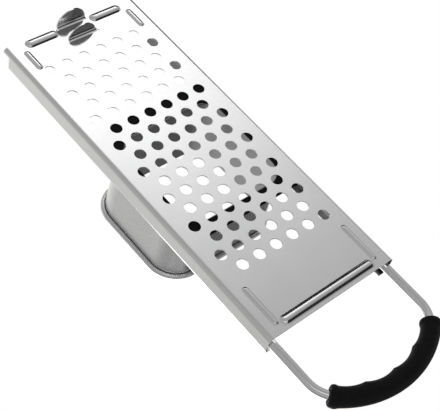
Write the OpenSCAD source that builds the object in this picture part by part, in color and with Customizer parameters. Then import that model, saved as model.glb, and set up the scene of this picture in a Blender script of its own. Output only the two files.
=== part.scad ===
// Sliding spaetzle maker: a perforated steel sheet with folded side rails, a hopper that
// slides in the rails, and a bent wire handle with a soft finger grip.
// It lies as it is used: +Z is up, +X points to the handle, the hopper stands on top.

/* [Perforated sheet] */
// Length of the sheet along the rails
sheet_l = 265.5; // [245:0.5:320]
// Overall width across the rails
sheet_w = 107; // [100:0.5:130]
// Thickness of the sheet steel
sheet_t = 0.8; // [0.6:0.1:1.2]
// Outer radius of the folds along the rails
fold_r = 3; // [2.4:0.1:4]
// Height of the rails, from the underside of the sheet to the top of their lips
rail_h = 14.5; // [12:0.5:20]
// Width of the lips that close the rails over the slider
lip_w = 7; // [6:0.5:9]
// Length of the pinched ends that keep the hopper on the rails
pinch_l = 6.5; // [5:0.5:9]
// Angle by which the pinched ends lean in, in degrees
pinch_angle = 32; // [25:1:40]

/* [Dough holes] */
// Diameter of a dough hole
hole_d = 8; // [5:0.5:9]
// Distance between neighbouring holes in a row
hole_pitch = 14; // [12:0.5:15]
// Distance between rows
row_pitch = 12.4; // [11:0.1:13]
// Number of rows
hole_rows = 16; // [10:1:16]
// Number of holes in a row
holes_in_row = 6; // [4:1:6]
// Distance of the first row from the far end of the sheet
first_row = 30.6; // [29:0.1:36]

/* [Stiffening beads] */
// Width of the cross beads near the two ends
cross_bead_w = 7.4; // [6:0.2:8]
// Height of the cross beads
cross_bead_h = 2; // [1.4:0.1:2.4]
// Distance of the far cross bead's crest from the far end
far_bead_in = 4.4; // [4.2:0.1:6]
// Distance of the near cross bead's crest from the near end
near_bead_in = 5.4; // [4.4:0.1:8]
// Overall length of the near cross bead
near_bead_l = 80; // [60:1:84]
// Overall length of each of the two far cross beads
far_bead_l = 26; // [20:0.5:26.5]
// Width of the four side beads
side_bead_w = 4.8; // [4:0.2:6]
// Height of the four side beads
side_bead_h = 1.4; // [1:0.1:1.8]
// Distance of the side beads from the middle line
side_bead_y = 42.6; // [40:0.2:44]
// Length of the side beads near the handle
near_side_bead_l = 31; // [20:0.5:33]
// Length of the side beads at the far end
far_side_bead_l = 18.5; // [12:0.5:20]

/* [Pot hook] */
// Width of the ear at the far edge
ear_w = 23.4; // [18:0.2:26]
// Reach of the ear below the sheet
ear_h = 12; // [9:0.5:14]
// Width of the inner tongue
tongue_w = 23; // [18:0.2:24]
// Reach of the tongue below the sheet
tongue_h = 9.5; // [7.5:0.5:11]
// Inner radius of the folds of the ear and the tongue
hook_fold_r = 2.4; // [1.6:0.1:3]
// Distance from the far edge to the fold of the tongue
tongue_in = 16.2; // [15.6:0.1:18]
// Width of the window that the tongue is cut from
window_w = 27.6; // [25:0.2:28]
// Length of that window
window_l = 9.6; // [8.6:0.1:10]
// Gap between the ear and the sheet beside it
ear_gap = 0.8; // [0.5:0.1:1.5]

/* [Hopper] */
// Length of the hopper at its foot
hopper_l = 77; // [60:1:90]
// Height of the rim above the underside of the sheet
hopper_h = 57; // [40:1:70]
// Thickness of the hopper's wall
hopper_t = 0.8; // [0.6:0.1:1.2]
// Radius of the hopper's upright corners at the foot
hopper_corner_r = 17; // [10:0.5:24]
// Lean of the walls, in degrees from upright
hopper_draft = 1.6; // [0:0.1:3]
// Diameter of the rolled rim
rim_d = 3.6; // [3:0.1:5]
// Gap between the hopper's walls and the lips of the rails
wall_gap = 0.9; // [0.6:0.1:2]
// Radius of the bend between the walls and the foot plate
foot_bend_r = 1.2; // [0.8:0.1:2]
// Length by which the foot plate reaches past the walls, along the rails
foot_out = 3; // [2.5:0.5:8]
// Gap between the runners and the sheet under them
runner_lift = 0.3; // [0.2:0.1:0.6]
// Gap between the runners and the sides of the rails
runner_gap = 0.5; // [0.3:0.1:1]
// Place of the hopper's middle, measured from the middle of the sheet
hopper_x = 7.75; // [-40:0.25:40]

/* [Handle] */
// Diameter of the handle wire
wire_d = 6; // [4:0.5:7]
// Length of the wire's legs inside the rails
leg_in = 38; // [30:1:45]
// Reach of the handle past the sheet, to the middle of the wire
handle_reach = 60; // [50:1:90]
// Radius of the handle's bow
bow_r = 70; // [60:1:100]
// Radius of the bends between the bow and the legs
knee_r = 20; // [12:1:28]
// Gap between the legs and the sides of the rails
leg_gap = 0.15; // [0.1:0.05:0.4]

/* [Grip] */
// Diameter of the grip
grip_d = 13.6; // [11:0.2:18]
// Length of the grip along the wire
grip_l = 98; // [80:1:110]
// Number of finger hollows
fingers = 4; // [3:1:5]
// Depth of the finger hollows
finger_depth = 1; // [0:0.1:1.6]
// Gap between the wire and the bore of the grip
bore_gap = 0.2; // [0.15:0.05:0.4]
// Radius of the rounded ends of the grip
grip_end_r = 2.6; // [1:0.1:3]

/* [Hidden] */
$fn = 64;
CUT = 5; // how far a cutting shape reaches past the sheet

// Places along the length: the middle of the whole object is x = 0
far_x = -(sheet_l + handle_reach + grip_d / 2) / 2;
near_x = far_x + sheet_l;

// Heights: the tip of the ear is at z = 0
under_z = ear_h;
top_z = under_z + sheet_t;
rail_top_z = under_z + rail_h;

// Rails
fold_in_r = fold_r - sheet_t;
flat_y = sheet_w / 2 - fold_r;
side_y = sheet_w / 2 - sheet_t;
lip_y = sheet_w / 2 - lip_w;
side_h = rail_h - 2 * fold_r;

// Beads: the far ones start beside the ear
bead_start_y = ear_w / 2 + ear_gap + 1;
far_side_bead_x = far_x + far_bead_in + cross_bead_w / 2 + 0.6;
near_side_bead_x = near_x - near_bead_in - near_side_bead_l;

// Hook
ear_x = far_x + sheet_t + hook_fold_r;
tongue_x = far_x + tongue_in;

// Hopper
hopper_mid_x = far_x + sheet_l / 2 + hopper_x;
foot_z = top_z + runner_lift;
foot_l = hopper_l + 2 * foot_out;
wall_y = lip_y - wall_gap;
runner_y = side_y - runner_gap;
runner_bend_y = runner_y - fold_in_r;
wall_h = hopper_h - rim_d / 2 - sheet_t - runner_lift;
wall_out = round(100 * wall_h * tan(hopper_draft)) / 100;
rim_x = wall_out + rim_d / 2 - hopper_t;
foot_strip = 1;

// Handle
wire_z = under_z + rail_h / 2;
leg_y = side_y - leg_gap - wire_d / 2;
leg_x = near_x - leg_in;
bow_x = near_x + handle_reach - bow_r;
knee_y = leg_y - knee_r;
bow_angle = asin(knee_y / (bow_r - knee_r));
knee_x = bow_x + (bow_r - knee_r) * cos(bow_angle);

// ---------------------------------------------------------------- general shapes

// The same thing on both sides of the middle line
module both_sides() {
    children();
    mirror([0, 1, 0]) children();
}

// A quarter tube round the Z axis, between +X and +Y
module quarter_tube(inner_r, t, l) {
    rotate_extrude(angle = 90)
        translate([inner_r, 0]) square([t, l]);
}

// A quarter tube round the X axis, between +Y and +Z
module upper_fold(inner_r, t, l) {
    rotate([90, 0, 90]) quarter_tube(inner_r, t, l);
}

// A quarter tube round the X axis, between +Y and -Z
module lower_fold(inner_r, t, l) {
    mirror([0, 0, 1]) upper_fold(inner_r, t, l);
}

// A block with upright round corners, round the Z axis and through z = 0
module rounded_block(l, w, r) {
    translate([r - l / 2, -w / 2, -CUT]) cube([l - 2 * r, w, 2 * CUT]);
    translate([-l / 2, r - w / 2, -CUT]) cube([l, w - 2 * r, 2 * CUT]);
    for (x = [-1, 1], y = [-1, 1])
        translate([x * (l / 2 - r), y * (w / 2 - r), -CUT]) cylinder(r = r, h = 2 * CUT);
}

// Radius of the circle that is w wide at a distance h from its edge
function arc_r(w, h) = (w * w / 4 + h * h) / (2 * h);

// ---------------------------------------------------------------- perforated sheet

// A rod with round ends along X; the part of it below z = 0 is the back of a bead with
// the overall length l, the width w and the height h. inset makes it thinner.
module bead_rod(l, w, h, inset) {
    r = arc_r(w, h);
    straight = l - w;
    translate([0, 0, r - h]) {
        translate([w / 2, 0, 0])
            rotate([0, 90, 0]) cylinder(r = r - inset, h = straight);
        for (x = [0, straight])
            translate([w / 2 + x, 0, 0]) sphere(r - inset);
    }
}

// All beads. A cross bead starts at the middle line's side and runs along Y.
module all_beads(inset) {
    translate([near_x - near_bead_in, -near_bead_l / 2, under_z])
        rotate([0, 0, 90]) bead_rod(near_bead_l, cross_bead_w, cross_bead_h, inset);
    both_sides() {
        translate([far_x + far_bead_in, bead_start_y, under_z])
            rotate([0, 0, 90]) bead_rod(far_bead_l, cross_bead_w, cross_bead_h, inset);
        translate([far_side_bead_x, side_bead_y, under_z])
            bead_rod(far_side_bead_l, side_bead_w, side_bead_h, inset);
        translate([near_side_bead_x, side_bead_y, under_z])
            bead_rod(near_side_bead_l, side_bead_w, side_bead_h, inset);
    }
}

// The flat of the sheet with the backs of the beads under it
module beaded_flat() {
    translate([far_x, -flat_y, under_z]) cube([sheet_l, 2 * flat_y, sheet_t]);
    intersection() {
        all_beads(0);
        translate([far_x, -flat_y, under_z - CUT])
            cube([sheet_l, 2 * flat_y, CUT + sheet_t / 2]);
    }
}

// Every second row is moved by half a pitch
module dough_holes() {
    first_y = (holes_in_row - 0.5) * hole_pitch / 2;
    for (row = [0 : hole_rows - 1], i = [0 : holes_in_row - 1])
        translate([far_x + first_row + row * row_pitch,
                   first_y - (i + (row % 2) / 2) * hole_pitch,
                   under_z - CUT])
            cylinder(d = hole_d, h = sheet_t + 2 * CUT);
}

// A tab that turns down from the sheet: its fold starts at x = 0 and goes towards -X
module down_tab(w, h) {
    r = arc_r(w, h);
    face_x = -hook_fold_r - sheet_t;
    intersection() {
        union() {
            translate([0, w, -hook_fold_r])
                rotate([90, 0, 0])
                    rotate([0, 0, 90]) quarter_tube(hook_fold_r, sheet_t, 2 * w);
            translate([face_x, -w, -h - 1])
                cube([sheet_t, 2 * w, h + 1 - hook_fold_r]);
        }
        translate([face_x - 1, 0, r - h])
            rotate([0, 90, 0]) cylinder(r = r, h = 1 - face_x);
    }
}

// The window that the tongue is cut from, with its round side towards the far end
module tongue_window() {
    r = arc_r(window_w, window_l);
    intersection() {
        translate([tongue_x - window_l + r, 0, under_z - CUT])
            cylinder(r = r, h = 2 * CUT);
        translate([tongue_x - 2 * window_l, -window_w, under_z - CUT])
            cube([2 * window_l, 2 * window_w, 2 * CUT]);
    }
}

// The notch in the far edge, in which the ear turns down
module ear_notch() {
    notch_w = ear_w + 2 * ear_gap;
    translate([ear_x - 2 * CUT, -notch_w / 2, under_z - CUT])
        cube([2 * CUT, notch_w, 2 * CUT]);
}

// One rail: the lower fold, the upright side, the upper fold and the lip
module rail() {
    l = sheet_l - pinch_l;
    translate([far_x, flat_y, under_z + fold_r])
        lower_fold(fold_in_r, sheet_t, sheet_l);
    translate([far_x + pinch_l, side_y, under_z + fold_r])
        cube([l, sheet_t, side_h]);
    translate([far_x + pinch_l, flat_y, rail_top_z - fold_r])
        upper_fold(fold_in_r, sheet_t, l);
    translate([far_x + pinch_l, lip_y, rail_top_z - sheet_t])
        cube([l, flat_y - lip_y, sheet_t]);
}

// The last stretch of a rail's side leans in, and stops the hopper's runner
module pinched_end() {
    l = pinch_l / cos(pinch_angle);
    translate([far_x + pinch_l, side_y + sheet_t, under_z + fold_r])
        rotate([0, 0, pinch_angle])
            translate([-l, -sheet_t, 0]) cube([l, sheet_t, side_h]);
}

module perforated_sheet() color("gainsboro") {
    difference() {
        beaded_flat();
        all_beads(sheet_t);
        dough_holes();
        tongue_window();
        ear_notch();
    }
    translate([ear_x, 0, under_z]) down_tab(ear_w, ear_h);
    translate([tongue_x, 0, under_z]) down_tab(tongue_w, tongue_h);
    both_sides() {
        rail();
        pinched_end();
    }
}

// ---------------------------------------------------------------- hopper

// Carries a section round the hopper's outline. The section has x outwards from the
// outer face of the wall at the foot, and y upwards.
module round_the_walls() {
    half_l = hopper_l / 2;
    straight_l = hopper_l - 2 * hopper_corner_r;
    straight_w = 2 * (wall_y - hopper_corner_r);
    for (turn = [0, 180]) rotate([0, 0, turn]) {
        translate([half_l, straight_w / 2, 0])
            rotate([90, 0, 0]) linear_extrude(straight_w) children();
        translate([-straight_l / 2, wall_y, 0])
            rotate([90, 0, 90]) linear_extrude(straight_l) children();
        translate([straight_l / 2, straight_w / 2, 0])
            rotate_extrude(angle = 90) translate([hopper_corner_r, 0]) children();
        translate([-straight_l / 2, straight_w / 2, 0])
            rotate([0, 0, 90])
                rotate_extrude(angle = 90) translate([hopper_corner_r, 0]) children();
    }
}

// The wall, from the rim down to the bend at the foot and a strip of the foot plate
module wall_section() {
    bend_y = hopper_t + foot_bend_r;
    polygon([[-hopper_t, bend_y], [0, bend_y], [wall_out, wall_h], [wall_out - hopper_t, wall_h]]);
    translate([foot_bend_r, bend_y])
        difference() {
            circle(bend_y);
            circle(foot_bend_r);
            translate([0, -2 * bend_y]) square(4 * bend_y);
            translate([-2 * bend_y, 0]) square(4 * bend_y);
        }
    translate([foot_bend_r, 0]) square([foot_strip, hopper_t]);
}

// The rim is rolled outwards and down, and ends just before it meets the wall again
module rim_section() {
    r = rim_d / 2;
    slit = 0.3;
    end_angle = acos((hopper_t + slit - r) / r);
    translate([rim_x, wall_h])
        difference() {
            circle(r);
            circle(r - hopper_t);
            polygon([[0, 0], [-2 * r, 0], [-2 * r, -2 * r],
                     [2 * r * cos(end_angle), -2 * r * sin(end_angle)]]);
        }
}

// The foot plate, and the runners that its long edges form in the rails
module foot() {
    hole_grow = foot_bend_r + foot_strip / 2;
    difference() {
        translate([-foot_l / 2, -runner_bend_y, 0])
            cube([foot_l, 2 * runner_bend_y, hopper_t]);
        rounded_block(hopper_l + 2 * hole_grow, 2 * (wall_y + hole_grow),
                      hopper_corner_r + hole_grow);
    }
    both_sides() {
        translate([-foot_l / 2, runner_bend_y, fold_in_r])
            lower_fold(fold_in_r - hopper_t, hopper_t, foot_l);
        translate([-foot_l / 2, runner_y - hopper_t, fold_in_r])
            cube([foot_l, hopper_t, rail_top_z - fold_r - foot_z - fold_in_r]);
    }
}

module hopper() color("silver") {
    translate([hopper_mid_x, 0, foot_z]) {
        foot();
        round_the_walls() wall_section();
        round_the_walls() rim_section();
    }
}

// ---------------------------------------------------------------- handle

// A bend of the wire round the Z axis, between two angles
module wire_bend(bend_r, d, from, to) {
    rotate_extrude(angle = to - from, start = from)
        translate([bend_r, 0]) circle(d = d);
}

// The knees are a hair thicker than the rest, and close over its ends
module handle_wire() color("lightgray") {
    chamfer = wire_d / 12;
    knee_d = wire_d + 0.02;
    lap = 0.3;
    lap_angle = lap / bow_r * 180 / PI;
    translate([bow_x, 0, wire_z])
        wire_bend(bow_r, wire_d, -bow_angle - lap_angle, bow_angle + lap_angle);
    both_sides() {
        translate([knee_x, knee_y, wire_z]) wire_bend(knee_r, knee_d, bow_angle, 90);
        translate([leg_x, leg_y, wire_z])
            rotate([0, 90, 0]) {
                cylinder(d1 = wire_d - 2 * chamfer, d2 = wire_d, h = chamfer);
                translate([0, 0, chamfer])
                    cylinder(d = wire_d, h = knee_x - leg_x - chamfer + lap);
            }
    }
}

// ---------------------------------------------------------------- grip

GRIP_SIDES = 20;
GRIP_STEPS = 50;
END_STEPS = 4;
bow_half_l = bow_r * bow_angle * PI / 180;

// The middle line of the wire at the distance s from its middle: [x, y, outward angle]
function wire_at(s) =
    let (side = sign(s), m = abs(s))
    m <= bow_half_l
        ? let (a = m / bow_r * 180 / PI)
          [bow_x + bow_r * cos(a), side * bow_r * sin(a), side * a]
        : let (a = bow_angle + (m - bow_half_l) / knee_r * 180 / PI)
          [knee_x + knee_r * cos(a), side * (knee_y + knee_r * sin(a)), side * a];

// Distances from the grip's middle to its rings, closer together on the round ends
grip_flat_l = grip_l - 2 * grip_end_r;
grip_rings = concat(
    [for (i = [0 : END_STEPS - 1]) -grip_l / 2 + grip_end_r * (1 - cos(90 * i / END_STEPS))],
    [for (i = [0 : GRIP_STEPS]) grip_flat_l * (i / GRIP_STEPS - 0.5)],
    [for (i = [END_STEPS - 1 : -1 : 0]) grip_l / 2 - grip_end_r * (1 - cos(90 * i / END_STEPS))]
);

// Radius of the grip at the distance s, in the direction q (0 is away from the sheet)
function grip_r_at(s, q) =
    let (
        wave = (1 - cos(360 * fingers * (s / grip_l + 0.5))) / 2,
        inner = max(0, -cos(q)),
        from_end = max(0, grip_end_r - (grip_l / 2 - abs(s)))
    )
    grip_d / 2 - finger_depth * wave * inner
        - grip_end_r + sqrt(max(0, pow(grip_end_r, 2) - pow(from_end, 2)));

function ring_points(s, bore) =
    let (p = wire_at(s))
    [for (j = [0 : GRIP_SIDES - 1])
        let (
            q = 360 * j / GRIP_SIDES,
            r = bore ? wire_d / 2 + bore_gap : grip_r_at(s, q)
        )
        [p[0] + r * cos(q) * cos(p[2]), p[1] + r * cos(q) * sin(p[2]), wire_z + r * sin(q)]];

// Two triangles between the corners a, b and c, d of two neighbouring rings
function quad(a, b, c, d) = [[a, b, c], [b, d, c]];

module grip_sleeve() color("#1c1c1e") {
    n = len(grip_rings);
    points = concat(
        [for (s = grip_rings) each ring_points(s, false)],
        [for (s = grip_rings) each ring_points(s, true)]
    );
    inner = n * GRIP_SIDES;
    last = (n - 1) * GRIP_SIDES;
    faces = [for (j = [0 : GRIP_SIDES - 1]) let (k = (j + 1) % GRIP_SIDES) each concat(
        [for (i = [0 : n - 2]) let (a = i * GRIP_SIDES, b = a + GRIP_SIDES)
            each concat(quad(a + j, b + j, a + k, b + k),
                        quad(inner + a + k, inner + b + k, inner + a + j, inner + b + j))],
        quad(j, k, inner + j, inner + k),
        quad(last + k, last + j, inner + last + k, inner + last + j)
    )];
    polyhedron(points, faces);
}

perforated_sheet();
hopper();
handle_wire();
grip_sleeve();
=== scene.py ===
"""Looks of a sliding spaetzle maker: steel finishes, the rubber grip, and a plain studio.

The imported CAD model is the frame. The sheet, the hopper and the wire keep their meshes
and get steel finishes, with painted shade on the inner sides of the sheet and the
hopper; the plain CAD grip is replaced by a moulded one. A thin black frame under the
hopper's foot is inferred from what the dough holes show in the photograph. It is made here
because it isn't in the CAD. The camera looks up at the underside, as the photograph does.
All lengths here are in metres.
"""

import logging
import math
from dataclasses import dataclass, field
from enum import Enum
from typing import Any, ClassVar, Mapping, Sequence, Union

import bmesh
import bpy
from mathutils import Matrix, Vector


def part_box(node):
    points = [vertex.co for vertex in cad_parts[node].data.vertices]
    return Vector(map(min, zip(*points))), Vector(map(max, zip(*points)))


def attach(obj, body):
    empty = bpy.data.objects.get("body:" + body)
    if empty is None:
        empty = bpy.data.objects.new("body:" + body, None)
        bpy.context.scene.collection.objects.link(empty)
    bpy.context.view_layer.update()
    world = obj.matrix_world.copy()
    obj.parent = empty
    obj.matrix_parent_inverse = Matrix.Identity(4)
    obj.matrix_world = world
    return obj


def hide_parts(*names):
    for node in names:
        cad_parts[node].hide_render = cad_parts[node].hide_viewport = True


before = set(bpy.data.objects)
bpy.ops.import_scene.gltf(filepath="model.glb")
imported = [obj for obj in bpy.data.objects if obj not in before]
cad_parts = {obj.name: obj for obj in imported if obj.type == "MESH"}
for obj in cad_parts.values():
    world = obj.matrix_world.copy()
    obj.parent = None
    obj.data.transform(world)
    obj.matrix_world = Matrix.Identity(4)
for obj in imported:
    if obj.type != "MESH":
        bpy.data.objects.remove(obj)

LOG = logging.getLogger("spaetzle_maker")
MM = 0.001
NOISE_MEAN = 0.5
LINE_STRETCH = 0.03

Number = Union[int, float]


# ------------------------------------------------------------------ shader expressions


class Value:
    """A number that varies over a surface, used in Python expressions."""

    def __init__(self, tree: "Tree", socket: bpy.types.NodeSocket) -> None:
        """Wraps one output socket.

        Args:
            tree: The node tree that the socket belongs to.
            socket: The output socket with the number.
        """
        self.tree = tree
        self.socket = socket

    def _math(self, operation: str, *values: Union["Value", Number]) -> "Value":
        """Adds one Math node.

        Args:
            operation: The node's operation.
            *values: Its inputs, in order.

        Returns:
            The node's result.
        """
        inputs = dict(enumerate(values))
        node = self.tree.add("ShaderNodeMath", {"operation": operation}, inputs)
        return Value(self.tree, node.outputs[0])

    def __add__(self, other: Union["Value", Number]) -> "Value":
        """Sum."""
        return self._math("ADD", self, other)

    def __radd__(self, other: Number) -> "Value":
        """Sum with a number on the left."""
        return self._math("ADD", other, self)

    def __sub__(self, other: Union["Value", Number]) -> "Value":
        """Difference."""
        return self._math("SUBTRACT", self, other)

    def __rsub__(self, other: Number) -> "Value":
        """Difference from a number on the left."""
        return self._math("SUBTRACT", other, self)

    def __mul__(self, other: Union["Value", Number]) -> "Value":
        """Product."""
        return self._math("MULTIPLY", self, other)

    def __rmul__(self, other: Number) -> "Value":
        """Product with a number on the left."""
        return self._math("MULTIPLY", other, self)

    def __pow__(self, other: Union["Value", Number]) -> "Value":
        """Power."""
        return self._math("POWER", self, other)

    def __rpow__(self, other: Number) -> "Value":
        """Power of a number on the left."""
        return self._math("POWER", other, self)

    def at_most(self, other: Union["Value", Number]) -> "Value":
        """The lesser of two numbers."""
        return self._math("MINIMUM", self, other)

    def at_least(self, other: Union["Value", Number]) -> "Value":
        """The greater of two numbers."""
        return self._math("MAXIMUM", self, other)

    def step(self, low: Number, high: Number) -> "Value":
        """A smooth step.

        Args:
            low: Where the step is 0.
            high: Where the step is 1. It may be less than low.

        Returns:
            A number from 0 to 1.
        """
        settings = {"interpolation_type": "SMOOTHSTEP"}
        flip = high < low
        first, last = (high, low) if flip else (low, high)
        inputs = {"Value": self, "From Min": first, "From Max": last,
                  "To Min": 1.0 if flip else 0.0, "To Max": 0.0 if flip else 1.0}
        node = self.tree.add("ShaderNodeMapRange", settings, inputs)
        return Value(self.tree, node.outputs["Result"])


Input = Union[Value, bpy.types.NodeSocket, Number, Sequence[float]]


class Tree:
    """A node tree that is filled by calls."""

    # The Mix node's sockets for colours. Those for numbers and vectors share their names.
    MIX_FIRST: ClassVar[int] = 6
    MIX_SECOND: ClassVar[int] = 7
    MIX_RESULT: ClassVar[int] = 2

    def __init__(self, tree: bpy.types.NodeTree) -> None:
        """Empties a tree.

        Args:
            tree: The node tree of a material or a world.
        """
        self.tree = tree
        self.tree.nodes.clear()

    def add(self, kind: str, settings: Mapping[str, Any],
            inputs: Mapping[Union[int, str], Input]) -> bpy.types.Node:
        """Adds a node.

        Args:
            kind: The node's type.
            settings: Its settings, set before its sockets.
            inputs: The values or links of its sockets, by name or number.

        Returns:
            The new node.
        """
        node = self.tree.nodes.new(kind)
        for name, value in settings.items():
            setattr(node, name, value)
        for name, value in inputs.items():
            socket = node.inputs[name]
            if isinstance(value, Value):
                self.tree.links.new(value.socket, socket)
            elif isinstance(value, bpy.types.NodeSocket):
                self.tree.links.new(value, socket)
            else:
                socket.default_value = value
        return node

    def value(self, kind: str, output: Union[int, str], settings: Mapping[str, Any],
              inputs: Mapping[Union[int, str], Input]) -> Value:
        """Adds a node and takes one of its outputs as a number.

        Args:
            kind: The node's type.
            output: The output's name or number.
            settings: The node's settings.
            inputs: The node's values or links.

        Returns:
            The output.
        """
        return Value(self, self.add(kind, settings, inputs).outputs[output])

    def mix(self, factor: Input, first: Input, second: Input) -> bpy.types.NodeSocket:
        """Mixes two colours.

        Args:
            factor: 0 for the first colour, 1 for the second.
            first: The first colour.
            second: The second colour.

        Returns:
            The mixed colour's socket.
        """
        node = self.add("ShaderNodeMix", {"data_type": "RGBA"},
                        {"Factor": factor, self.MIX_FIRST: first, self.MIX_SECOND: second})
        return node.outputs[self.MIX_RESULT]

    def noise(self, place: bpy.types.NodeSocket, size: float, detail: float) -> Value:
        """Adds a cloudy pattern.

        Args:
            place: The coordinates.
            size: The size of its patches.
            detail: How many finer layers it has.

        Returns:
            A number round 0.5.
        """
        inputs = {"Vector": place, "Scale": 1.0 / size, "Detail": detail}
        return self.value("ShaderNodeTexNoise", "Fac", {}, inputs)

    def stretched(self, place: bpy.types.NodeSocket,
                  scale: Sequence[float]) -> bpy.types.NodeSocket:
        """Scales coordinates.

        Args:
            place: The coordinates.
            scale: The factor of each axis.

        Returns:
            The scaled coordinates' socket.
        """
        node = self.add("ShaderNodeVectorMath", {"operation": "MULTIPLY"},
                        {0: place, 1: tuple(scale)})
        return node.outputs[0]

    def surface(self, inputs: Mapping[Union[int, str], Input]) -> None:
        """Adds a material's shader and its output.

        Args:
            inputs: The shader's values or links.
        """
        shader = self.add("ShaderNodeBsdfPrincipled", {}, inputs)
        self.add("ShaderNodeOutputMaterial", {}, {"Surface": shader.outputs[0]})


def new_material(name: str) -> tuple[bpy.types.Material, Tree]:
    """Starts a material.

    Args:
        name: The material's name.

    Returns:
        The material and its empty tree.
    """
    material = bpy.data.materials.new(name)
    material.use_nodes = True
    return material, Tree(material.node_tree)


# ------------------------------------------------------------------ finishes


class Grain(Enum):
    """The direction of a steel's fine lines, as the scale of the noise along each axis."""

    ALONG_X = (LINE_STRETCH, 1.0, 1.0)
    ALONG_Z = (1.0, 1.0, LINE_STRETCH)


@dataclass(frozen=True)
class Steel:
    """Stainless steel with fine grain and faint smudges.

    Args:
        name: The material's name.
        colour: Its colour, from 0 to 1.
        roughness: Its mean roughness.
        grain: The direction of its lines.
        line_width: The width of a line of the grain.
        line_height: The height of the lines, for the bump.
        cloud_size: The size of its smudges.
        shade_above: The height above which the inner sides get painted shade, a darker
            colour that stands in for the shade inside them, and a rougher finish; or None
            where no side gets it.
        shade_share: The share of the colour that the painted shade leaves.
        centre_x: The middle along X that the inner sides face.
    """

    name: str
    colour: tuple[float, float, float]
    roughness: float
    grain: Grain
    line_width: float
    line_height: float
    cloud_size: float
    shade_above: float | None = None
    shade_share: float = 0.42
    centre_x: float = 0.0

    # How far a side faces inwards where it begins to count as inner, and where it is one.
    INNER: ClassVar[tuple[float, float]] = (-10 * MM, -20 * MM)
    # The softness of the painted shade's edge in height, and the roughness added on the inner
    # sides.
    SHADE_EDGE: ClassVar[float] = 0.5 * MM
    DULL_ROUGHNESS: ClassVar[float] = 0.12
    # The layers of the lines and clouds, and the speckle's size in widths of a line.
    DETAIL: ClassVar[float] = 3.0
    SPECKLE_SIZE: ClassVar[float] = 3.0
    SPECKLE_DETAIL: ClassVar[float] = 1.0
    # What a smudge is made of, where it begins and ends, and its share of the colour.
    CLOUD_SHARE: ClassVar[float] = 0.6
    LINE_SHARE: ClassVar[float] = 0.4
    SMUDGE_EDGE: ClassVar[tuple[float, float]] = (0.3, 0.7)
    SMUDGE_COLOUR: ClassVar[float] = 0.94
    # How much the roughness changes with each noise, and the least that it may be.
    LINE_CHANGE: ClassVar[float] = 0.10
    CLOUD_CHANGE: ClassVar[float] = 0.08
    SPECKLE_CHANGE: ClassVar[float] = 0.03
    LEAST_ROUGHNESS: ClassVar[float] = 0.04
    BUMP_STRENGTH: ClassVar[float] = 0.25

    def inner_side(self, tree: Tree, place: bpy.types.NodeSocket, height: float) -> Value:
        """Finds the sides that face the piece's middle line.

        Args:
            tree: The material's tree.
            place: The coordinates.
            height: The height above which they are looked for.

        Returns:
            1 on an inner side above that height, 0 elsewhere.
        """
        normal = tree.add("ShaderNodeTexCoord", {}, {}).outputs["Normal"]
        from_middle = tree.add("ShaderNodeVectorMath", {"operation": "SUBTRACT"},
                               {0: place, 1: (self.centre_x, 0.0, 0.0)}).outputs[0]
        flat = tree.stretched(from_middle, (1.0, 1.0, 0.0))
        outward = tree.value("ShaderNodeVectorMath", "Value", {"operation": "DOT_PRODUCT"},
                             {0: flat, 1: normal})
        z = tree.value("ShaderNodeSeparateXYZ", "Z", {}, {0: place})
        return outward.step(*self.INNER) * z.step(height, height + self.SHADE_EDGE)

    def make(self) -> bpy.types.Material:
        """Builds the material.

        Returns:
            The material.
        """
        material, tree = new_material(self.name)
        place = tree.add("ShaderNodeTexCoord", {}, {}).outputs["Object"]
        lines_place = tree.stretched(place, self.grain.value)
        lines = tree.noise(lines_place, self.line_width, self.DETAIL)
        clouds = tree.noise(place, self.cloud_size, self.DETAIL)
        speckle = tree.noise(place, self.line_width * self.SPECKLE_SIZE, self.SPECKLE_DETAIL)
        clean = (clouds * self.CLOUD_SHARE + lines * self.LINE_SHARE).step(*self.SMUDGE_EDGE)
        smudge = tuple(c * self.SMUDGE_COLOUR for c in self.colour)
        colour = tree.mix(clean, (*smudge, 1.0), (*self.colour, 1.0))
        roughness = (self.roughness + (lines - NOISE_MEAN) * self.LINE_CHANGE
                     + (clouds - NOISE_MEAN) * self.CLOUD_CHANGE
                     + (speckle - NOISE_MEAN) * self.SPECKLE_CHANGE)
        roughness = roughness.at_least(self.LEAST_ROUGHNESS)
        # Painted shade: inner sides above shade_above are darkened to shade_share of the
        # colour, standing in for the shade that falls inside the sheet's sides and the hopper;
        # their roughness is raised as well.
        if self.shade_above is not None:
            shaded_inner = self.inner_side(tree, place, self.shade_above)
            shaded_colour = tuple(c * self.shade_share for c in self.colour)
            colour = tree.mix(shaded_inner, colour, (*shaded_colour, 1.0))
            roughness = roughness + shaded_inner * self.DULL_ROUGHNESS
        bump = tree.add("ShaderNodeBump", {}, {
            "Strength": self.BUMP_STRENGTH, "Distance": self.line_height, "Height": lines})
        tree.surface({"Base Color": colour, "Metallic": 1.0, "Roughness": roughness,
                      "Normal": bump.outputs[0]})
        return material


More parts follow.
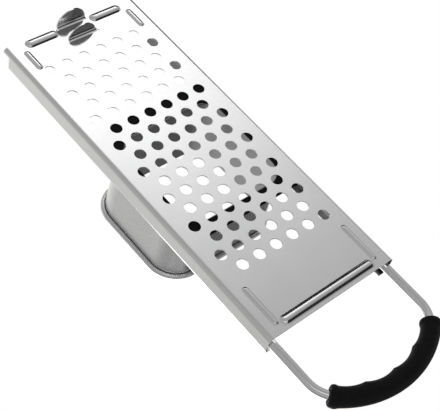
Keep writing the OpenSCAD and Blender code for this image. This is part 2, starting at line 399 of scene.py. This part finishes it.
@dataclass(frozen=True)
class Rubber:
    """Matt soft rubber or plastic with a finely pored skin.

    Args:
        name: The material's name.
        colour: Its colour, from 0 to 1.
        roughness: Its mean roughness.
        pore_size: The size of a pore.
        pore_depth: The depth of a pore.
        gloss: How strongly its skin mirrors, 0.5 for a plain plastic.
    """

    name: str
    colour: tuple[float, float, float]
    roughness: float
    pore_size: float
    pore_depth: float
    gloss: float

    PORE_DETAIL: ClassVar[float] = 2.0
    # The size of a worn patch in pores, its layers, where it begins and ends, its colour.
    PATCH_SIZE: ClassVar[float] = 24.0
    PATCH_DETAIL: ClassVar[float] = 3.0
    PATCH_EDGE: ClassVar[tuple[float, float]] = (0.35, 0.7)
    PATCH_COLOUR: ClassVar[float] = 1.7
    # How much the roughness changes with each noise.
    PATCH_CHANGE: ClassVar[float] = 0.12
    PORE_CHANGE: ClassVar[float] = 0.1
    BUMP_STRENGTH: ClassVar[float] = 0.5

    def make(self) -> bpy.types.Material:
        """Builds the material.

        Returns:
            The material.
        """
        material, tree = new_material(self.name)
        place = tree.add("ShaderNodeTexCoord", {}, {}).outputs["Object"]
        pores = tree.noise(place, self.pore_size, self.PORE_DETAIL)
        patches = tree.noise(place, self.pore_size * self.PATCH_SIZE, self.PATCH_DETAIL)
        worn = tuple(c * self.PATCH_COLOUR for c in self.colour)
        colour = tree.mix(patches.step(*self.PATCH_EDGE), (*self.colour, 1.0), (*worn, 1.0))
        roughness = (self.roughness + (patches - NOISE_MEAN) * self.PATCH_CHANGE
                     + (pores - NOISE_MEAN) * self.PORE_CHANGE)
        bump = tree.add("ShaderNodeBump", {}, {
            "Strength": self.BUMP_STRENGTH, "Distance": self.pore_depth, "Height": pores})
        tree.surface({"Base Color": colour, "Roughness": roughness,
                      "Specular IOR Level": self.gloss, "Normal": bump.outputs[0]})
        return material


# ------------------------------------------------------------------ the object's pieces


def dress(node: bpy.types.Object, material: bpy.types.Material) -> None:
    """Gives a piece one material.

    Args:
        node: The piece.
        material: Its material.
    """
    node.data.materials.clear()
    node.data.materials.append(material)


def add_object(name: str, mesh: bmesh.types.BMesh) -> bpy.types.Object:
    """Puts a finished mesh into the scene.

    Args:
        name: The object's name.
        mesh: Its mesh, which is freed.

    Returns:
        The object.
    """
    data = bpy.data.meshes.new(name)
    mesh.to_mesh(data)
    mesh.free()
    made = bpy.data.objects.new(name, data)
    bpy.context.scene.collection.objects.link(made)
    return made


def bridge(mesh: bmesh.types.BMesh, rows: Sequence[Sequence[bmesh.types.BMVert]]) -> None:
    """Joins closed rings of points with faces.

    Args:
        mesh: The mesh that gets the faces.
        rows: The rings in order, all with the same number of points.
    """
    for first, second in zip(rows, rows[1:]):
        for k in range(len(first)):
            n = (k + 1) % len(first)
            mesh.faces.new((first[k], first[n], second[n], second[k]))


@dataclass
class PerforatedSheet:
    """The perforated sheet with its rails, beads, ear and tongue.

    Args:
        finish: Its bright rolled steel, with painted shade on its inner sides.
    """

    finish: Steel = Steel(
        name="sheet_steel", colour=(0.84, 0.84, 0.845), roughness=0.15, grain=Grain.ALONG_X,
        line_width=0.35 * MM, line_height=0.01 * MM, cloud_size=30 * MM, shade_above=13 * MM)

    def build(self) -> None:
        """Dresses the CAD node."""
        dress(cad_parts["perforated_sheet"], self.finish.make())


@dataclass
class Hopper:
    """The sliding hopper with its rolled rim and foot.

    Args:
        finish: Its satin drawn steel, with painted shade on its inner walls.
    """

    finish: Steel = Steel(
        name="hopper_steel", colour=(0.70, 0.70, 0.705), roughness=0.27, grain=Grain.ALONG_Z,
        line_width=0.4 * MM, line_height=0.015 * MM, cloud_size=25 * MM, shade_above=14 * MM,
        shade_share=0.50, centre_x=-25.65 * MM)

    def build(self) -> None:
        """Dresses the CAD node."""
        dress(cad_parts["hopper"], self.finish.make())


@dataclass
class GlideFrame:
    """The thin black frame that the hopper glides on, seen through the dough holes.

    Args:
        far_reach: How far it reaches past the hopper's foot, towards the far end.
        near_reach: How far it reaches past the foot, towards the handle.
        half_width: Half its width, clear of the wire's legs.
        mouth_half_width: Half the width of its opening.
        mouth_inset: Distance of its opening from the ends of the hopper's foot.
        corner_r: Radius of the opening's corners.
        outer_corner_r: Radius of its own corners.
        corner_steps: Number of edges in a corner.
        thickness: Its thickness, less than the gap under the foot.
        clearance: Gap between it and the foot above it.
        finish: Its black finish.
    """

    far_reach: float = 11 * MM
    near_reach: float = 6 * MM
    half_width: float = 45.8 * MM
    mouth_half_width: float = 39.5 * MM
    mouth_inset: float = 3.8 * MM
    corner_r: float = 14 * MM
    outer_corner_r: float = 2 * MM
    corner_steps: int = 12
    thickness: float = 0.2 * MM
    clearance: float = 0.04 * MM
    finish: Rubber = Rubber(
        name="glide_plastic", colour=(0.005, 0.005, 0.0055), roughness=0.48,
        pore_size=0.5 * MM, pore_depth=0.02 * MM, gloss=0.08)

    def outline(self, low: Vector, high: Vector, radius: float) -> list[tuple[float, float]]:
        """A rectangle with round corners, with the same number of points for any radius.

        Args:
            low: Its lowest corner.
            high: Its highest corner.
            radius: The radius of its corners.

        Returns:
            The points, counter-clockwise.
        """
        corners = ((high.x, high.y, 0.0), (low.x, high.y, 0.25),
                   (low.x, low.y, 0.5), (high.x, low.y, 0.75))
        middle = (low + high) / 2
        points = []
        for x, y, turn in corners:
            centre_x = x - math.copysign(radius, x - middle.x)
            centre_y = y - math.copysign(radius, y - middle.y)
            for k in range(self.corner_steps + 1):
                angle = math.tau * (turn + 0.25 * k / self.corner_steps)
                points.append((centre_x + radius * math.cos(angle),
                               centre_y + radius * math.sin(angle)))
        return points

    def build(self) -> None:
        """Builds the frame under the hopper's foot."""
        foot_low, foot_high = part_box("hopper")
        top = foot_low.z - self.clearance
        outside = self.outline(
            Vector((foot_low.x - self.far_reach, -self.half_width, 0.0)),
            Vector((foot_high.x + self.near_reach, self.half_width, 0.0)),
            self.outer_corner_r)
        mouth = self.outline(
            Vector((foot_low.x + self.mouth_inset, -self.mouth_half_width, 0.0)),
            Vector((foot_high.x - self.mouth_inset, self.mouth_half_width, 0.0)),
            self.corner_r)
        mesh = bmesh.new()
        loops = [[mesh.verts.new((x, y, z)) for x, y in points]
                 for points, z in ((outside, top), (outside, top - self.thickness),
                                   (mouth, top - self.thickness), (mouth, top))]
        bridge(mesh, loops + loops[:1])
        bmesh.ops.recalc_face_normals(mesh, faces=mesh.faces)
        made = add_object("glide_frame", mesh)
        dress(made, self.finish.make())
        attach(made, "hopper")


@dataclass
class Handle:
    """The bent wire and its grip.

    Args:
        bow_r: Radius of the wire's bow.
        knee_r: Radius of its two knees.
        grip_r: Radius of the grip.
        grip_l: Length of the grip along the wire.
        fingers: Number of finger hollows.
        hollow: Depth of a finger hollow.
        lip: How much thicker the grip is near its ends.
        end_r: Radius of the grip's rounded ends.
        bore_gap: Clearance between the wire and the grip's mouth.
        bore_depth: How deep the grip's open mouth is modelled.
        chamfer: The width of the mouth's bevel.
        hollow_power: The form of the hollows; the less it is, the narrower their ridges.
        rings: Number of rings between the rounded ends.
        end_steps: Number of rings in a rounded end.
        sides: Number of points in a ring.
        wire_finish: The wire's polished steel.
        grip_finish: The grip's matt rubber.
        wire_r: Radius of the wire, from its CAD node.
        bow_centre: Centre of the wire's bow.
        knee_y: Distance of a knee's centre from the middle line.
        bow_angle: Half the angle that the bow spans.
    """

    bow_r: float = 70 * MM
    knee_r: float = 20 * MM
    grip_r: float = 6.8 * MM
    grip_l: float = 98 * MM
    fingers: int = 4
    hollow: float = 1.3 * MM
    lip: float = 0.5 * MM
    end_r: float = 1.6 * MM
    bore_gap: float = 0.05 * MM
    bore_depth: float = 4 * MM
    chamfer: float = 0.4 * MM
    hollow_power: float = 0.8
    rings: int = 220
    end_steps: int = 8
    sides: int = 48
    wire_finish: Steel = Steel(
        name="wire_steel", colour=(0.80, 0.80, 0.805), roughness=0.13, grain=Grain.ALONG_X,
        line_width=1.2 * MM, line_height=0.002 * MM, cloud_size=20 * MM)
    grip_finish: Rubber = Rubber(
        name="grip_rubber", colour=(0.0042, 0.0042, 0.0045), roughness=0.7,
        pore_size=0.35 * MM, pore_depth=0.06 * MM, gloss=0.2)
    wire_r: float = field(init=False)
    bow_centre: Vector = field(init=False)
    knee_y: float = field(init=False)
    bow_angle: float = field(init=False)

    def __post_init__(self) -> None:
        """Takes the wire's place from its CAD node."""
        low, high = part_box("handle_wire")
        self.wire_r = (high.z - low.z) / 2
        self.bow_centre = Vector((high.x - self.wire_r - self.bow_r, 0.0, (high.z + low.z) / 2))
        self.knee_y = high.y - self.wire_r - self.knee_r
        self.bow_angle = math.asin(self.knee_y / (self.bow_r - self.knee_r))

    def wire_at(self, s: float) -> tuple[Vector, Vector]:
        """A place on the wire's middle line.

        Args:
            s: The distance from the bow's middle, along the wire.

        Returns:
            The point, and the direction away from the sheet there.
        """
        side = -1.0 if s < 0 else 1.0
        bow_half = self.bow_r * self.bow_angle
        if abs(s) <= bow_half:
            angle = abs(s) / self.bow_r
            centre, radius = self.bow_centre, self.bow_r
        else:
            angle = self.bow_angle + (abs(s) - bow_half) / self.knee_r
            reach = (self.bow_r - self.knee_r) * math.cos(self.bow_angle)
            centre = self.bow_centre + Vector((reach, side * self.knee_y, 0.0))
            radius = self.knee_r
        out = Vector((math.cos(angle), side * math.sin(angle), 0.0))
        return centre + radius * out, out

    def grip_radius(self, s: float, q: float) -> float:
        """The grip's radius.

        Args:
            s: The distance from the grip's middle, along the wire.
            q: The direction round the wire; 0 is away from the sheet.

        Returns:
            The radius.
        """
        turn = math.pi * self.fingers * (s / self.grip_l + 0.5)
        wave = abs(math.sin(turn)) ** self.hollow_power
        inner = max(0.0, -math.cos(q))
        lip = self.lip * math.exp(-((self.grip_l / 2 - abs(s) - 2 * self.end_r)
                                    / self.end_r) ** 2)
        past = max(0.0, self.end_r - (self.grip_l / 2 - abs(s)))
        round_off = self.end_r - math.sqrt(max(0.0, self.end_r ** 2 - past ** 2))
        return self.grip_r + lip - self.hollow * wave * inner - round_off

    def ring(self, mesh: bmesh.types.BMesh, s: float,
             radius: float | None = None) -> list[bmesh.types.BMVert]:
        """Adds one ring of points round the wire.

        Args:
            mesh: The mesh that gets the points.
            s: The distance from the grip's middle.
            radius: The ring's radius, or None for the grip's own.

        Returns:
            The points.
        """
        point, out = self.wire_at(s)
        made = []
        for i in range(self.sides):
            q = math.tau * i / self.sides
            r = self.grip_radius(s, q) if radius is None else radius
            made.append(mesh.verts.new(point + r * (math.cos(q) * out
                                                    + math.sin(q) * Vector((0, 0, 1)))))
        return made

    def grip(self) -> bpy.types.Object:
        """Builds the moulded grip.

        Returns:
            The grip's object.
        """
        mesh = bmesh.new()
        half = self.grip_l / 2
        mouth = self.wire_r + self.bore_gap
        straight = half - self.end_r
        ends = [-half + self.end_r * (1 - math.cos(math.pi / 2 * i / self.end_steps))
                for i in range(self.end_steps)]
        middle = [-straight + 2 * straight * i / self.rings for i in range(self.rings + 1)]
        bore = ((half - self.bore_depth, mouth), (half - self.chamfer, mouth),
                (half, mouth + self.chamfer))
        rows = [self.ring(mesh, -s, radius) for s, radius in bore]
        rows += [self.ring(mesh, s) for s in ends + middle + [-s for s in reversed(ends)]]
        rows += [self.ring(mesh, s, radius) for s, radius in reversed(bore)]
        bridge(mesh, rows)
        for face in mesh.faces:
            face.smooth = True
        bmesh.ops.recalc_face_normals(mesh, faces=mesh.faces)
        return add_object("grip_rubber_sleeve", mesh)

    def build(self) -> None:
        """Dresses the wire and puts the moulded grip in the plain one's place."""
        dress(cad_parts["handle_wire"], self.wire_finish.make())
        grip = self.grip()
        dress(grip, self.grip_finish.make())
        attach(grip, "sheet_with_handle")
        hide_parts("grip_sleeve")


# ------------------------------------------------------------------ studio


@dataclass(frozen=True)
class Softbox:
    """A rectangular lamp.

    Args:
        name: Its name.
        place: Where it is.
        aim: The point that it faces.
        size: Its two sides.
        power: Its power in watts.
    """

    name: str
    place: tuple[float, float, float]
    aim: tuple[float, float, float]
    size: tuple[float, float]
    power: float

    def build(self) -> None:
        """Adds the lamp."""
        lamp = bpy.data.lights.new(self.name, "AREA")
        lamp.shape = "RECTANGLE"
        lamp.size, lamp.size_y = self.size
        lamp.energy = self.power
        made = bpy.data.objects.new(self.name, lamp)
        made.location = self.place
        aim = Vector(self.aim) - Vector(self.place)
        made.rotation_mode = "QUATERNION"
        made.rotation_quaternion = aim.to_track_quat("-Z", "Y")
        made.visible_camera = False
        bpy.context.scene.collection.objects.link(made)


@dataclass(frozen=True)
class Panel:
    """A dark panel in the tent.

    Args:
        place: Its middle, as shares of the tent's radius.
        end: The distance from its middle at which it ends.
        full: The distance within which it is at its darkest.
        darkness: The share of the light that it takes away.
    """

    place: tuple[float, float, float]
    end: float
    full: float
    darkness: float


@dataclass(frozen=True)
class LightTent:
    """A glowing cloth tent round the object, brighter on the far side, with dark panels that
    give the polished steel its dark lines. The camera looks through it.

    Args:
        radius: The tent's radius.
        low: The lowest part of the tent, as a share of its radius.
        rings: The number of its rings.
        sides: The number of its sides.
        bright: The level of its brightest cloth.
        slope: The cloth's level in the middle, and its change along X and Y.
        least: The level of the upper cloth's dimmest part.
        horizon: Where the upper cloth begins, as shares of the radius.
        low_level: The level of the cloth below the horizon.
        blue_share: The share of blue in its light.
        panels: Its dark panels.
    """

    radius: float = 3.0
    low: float = -0.80
    rings: int = 24
    sides: int = 48
    bright: float = 1.0
    slope: tuple[float, float, float] = (0.675, -0.347, -0.377)
    least: float = 0.30
    horizon: tuple[float, float] = (0.06, 0.20)
    low_level: float = 0.42
    blue_share: float = 0.985
    panels: tuple[Panel, ...] = (
        Panel((-0.76, -0.60, -0.24), end=0.48, full=0.32, darkness=0.98),
        Panel((0.58, -0.50, -0.66), end=0.55, full=0.36, darkness=0.98),
        Panel((0.40, -0.53, 0.75), end=0.58, full=0.34, darkness=0.85))

    def mesh(self) -> bmesh.types.BMesh:
        """Builds the tent's cloth.

        Returns:
            The mesh.
        """
        mesh = bmesh.new()
        first = math.asin(self.low)
        rows = []
        for i in range(self.rings):
            rise = first + (math.pi / 2 - first) * i / self.rings
            rows.append([mesh.verts.new((self.radius * math.cos(rise) * math.cos(turn),
                                         self.radius * math.cos(rise) * math.sin(turn),
                                         self.radius * math.sin(rise)))
                         for turn in (math.tau * k / self.sides for k in range(self.sides))])
        top = mesh.verts.new((0.0, 0.0, self.radius))
        bridge(mesh, rows)
        for k in range(self.sides):
            mesh.faces.new((rows[-1][k], rows[-1][(k + 1) % self.sides], top))
        for face in mesh.faces:
            face.smooth = True
        return mesh

    def cloth(self) -> bpy.types.Material:
        """Builds the cloth's material: its glow depends on the place on the tent.

        Returns:
            The material.
        """
        material, tree = new_material("tent_cloth")
        place = tree.add("ShaderNodeTexCoord", {}, {}).outputs["Object"]
        unit = tree.stretched(place, (1 / self.radius,) * 3)
        split = tree.add("ShaderNodeSeparateXYZ", {}, {0: unit})
        x, y, z = (Value(tree, split.outputs[i]) for i in range(3))
        base, along_x, along_y = self.slope
        sky = (base + along_x * x + along_y * y).at_least(self.least).at_most(self.bright)
        above = z.step(*self.horizon)
        level = sky * above + self.low_level * (1 - above)
        for panel in self.panels:
            px, py, pz = panel.place
            gap = ((x - px) ** 2.0 + (y - py) ** 2.0 + (z - pz) ** 2.0) ** 0.5
            level = level * (1 - panel.darkness * gap.step(panel.end, panel.full))
        glow = tree.add("ShaderNodeCombineColor", {},
                        {0: level, 1: level, 2: level * self.blue_share})
        tree.surface({"Base Color": (0.0, 0.0, 0.0, 1.0), "Roughness": 1.0,
                      "Emission Color": glow.outputs[0], "Emission Strength": 1.0})
        return material

    def build(self) -> None:
        """Adds the tent."""
        made = add_object("light_tent", self.mesh())
        dress(made, self.cloth())
        made.visible_camera = False
        made.visible_shadow = False


def seen_ray(tree: Tree) -> Value:
    """Tells apart what is seen, straight or in metal, from what only gives light.

    Args:
        tree: The tree of the floor or the world.

    Returns:
        1 for a ray of the camera, a reflection or a see-through surface, 0 for other rays.
    """
    rays = tree.add("ShaderNodeLightPath", {}, {})
    camera, glossy, through = (
        Value(tree, rays.outputs[name])
        for name in ("Is Camera Ray", "Is Glossy Ray", "Is Transmission Ray"))
    return (camera + glossy + through).at_most(1.0)


@dataclass
class Studio:
    """The camera, the floor, the tent, the lamps and the white surroundings.

    Args:
        camera_place: Where the camera is.
        camera_right: The direction of the picture's right side.
        camera_forward: The direction that the camera looks in.
        focal_length: Its focal length in millimetres.
        sensor_width: The width of its sensor in millimetres.
        clip_start: The nearest distance that it sees.
        floor_z: The floor's height.
        floor_centre: The floor's middle.
        floor_side: The floor's side.
        floor_edge: The distances from its middle where its soft edge begins and ends.
        floor_colour: The floor's level under light.
        floor_paleness: The level that is added where the floor is seen.
        diffuse_level: The white surroundings' level as a light.
        tent: The light tent.
        lamps: The lamps.
    """

    camera_place: tuple[float, float, float] = (0.25913, 0.38253, -0.51997)
    camera_right: tuple[float, float, float] = (0.6418, -0.7379, -0.2096)
    camera_forward: tuple[float, float, float] = (-0.3604, -0.5312, 0.7670)
    focal_length: float = 91.9
    sensor_width: float = 36.0
    clip_start: float = 0.01
    floor_z: float = -0.9
    floor_centre: tuple[float, float] = (-0.45, -0.30)
    floor_side: float = 2.5
    floor_edge: tuple[float, float] = (0.85, 1.15)
    floor_colour: float = 0.20
    floor_paleness: float = 0.20
    diffuse_level: float = 0.6
    tent: LightTent = LightTent()
    lamps: tuple[Softbox, ...] = (
        Softbox("lamp_floor", place=(-0.92, -0.64, -0.50), aim=(-0.92, -0.64, -0.9),
                size=(0.7, 0.6), power=16.0),
        Softbox("lamp_above", place=(0.0, 0.0, 1.9), aim=(0.0, 0.0, 0.0),
                size=(1.6, 1.6), power=14.0),
    )

    def camera(self) -> None:
        """Adds the camera at the photograph's place."""
        data = bpy.data.cameras.new("camera")
        data.sensor_width = self.sensor_width
        data.lens = self.focal_length
        data.clip_start = self.clip_start
        made = bpy.data.objects.new("camera", data)
        forward = Vector(self.camera_forward).normalized()
        right = Vector(self.camera_right)
        right = (right - right.dot(forward) * forward).normalized()
        up = right.cross(forward)
        turn = Matrix((right, up, -forward)).transposed()
        made.matrix_world = Matrix.Translation(self.camera_place) @ turn.to_4x4()
        bpy.context.scene.collection.objects.link(made)
        bpy.context.scene.camera = made

    def floor(self) -> None:
        """Adds the pale floor, far below the object, with a soft edge."""
        half = self.floor_side / 2
        mesh = bmesh.new()
        mesh.faces.new([mesh.verts.new((x * half, y * half, 0.0))
                        for x, y in ((-1, -1), (1, -1), (1, 1), (-1, 1))])
        made = add_object("floor", mesh)
        made.location = (*self.floor_centre, self.floor_z)
        material, tree = new_material("floor_paper")
        place = tree.add("ShaderNodeTexCoord", {}, {}).outputs["Object"]
        reach = tree.value("ShaderNodeVectorMath", "Value", {"operation": "LENGTH"}, {0: place})
        seen = seen_ray(tree)
        pale = tree.mix(seen, (0.0, 0.0, 0.0, 1.0), (*[self.floor_paleness] * 3, 1.0))
        tree.surface({
            "Base Color": (*[self.floor_colour] * 3, 1.0), "Roughness": 0.9,
            "Emission Color": pale, "Emission Strength": 1.0,
            "Alpha": reach.step(self.floor_edge[1], self.floor_edge[0])})
        dress(made, material)

    def surroundings(self) -> None:
        """Makes the world white where it is seen, straight or in metal, and dimmer as light."""
        world = bpy.data.worlds.new("studio")
        bpy.context.scene.world = world
        world.use_nodes = True
        tree = Tree(world.node_tree)
        seen = seen_ray(tree)
        level = seen + (1 - seen) * self.diffuse_level
        shader = tree.add("ShaderNodeBackground", {},
                          {"Color": (1.0, 1.0, 1.0, 1.0), "Strength": level})
        tree.add("ShaderNodeOutputWorld", {}, {"Surface": shader.outputs[0]})

    def build(self) -> None:
        """Builds the whole studio."""
        self.camera()
        self.floor()
        self.surroundings()
        self.tent.build()
        for lamp in self.lamps:
            lamp.build()
        bpy.context.scene.view_settings.view_transform = "Standard"


def main() -> None:
    """Builds the scene in order."""
    logging.basicConfig(level=logging.INFO, format="%(name)s: %(message)s")
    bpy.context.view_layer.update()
    for piece in (Studio(), PerforatedSheet(), Hopper(), GlideFrame(), Handle()):
        piece.build()
        LOG.info("built %s", type(piece).__name__)


if __name__ == "__main__":
    main()
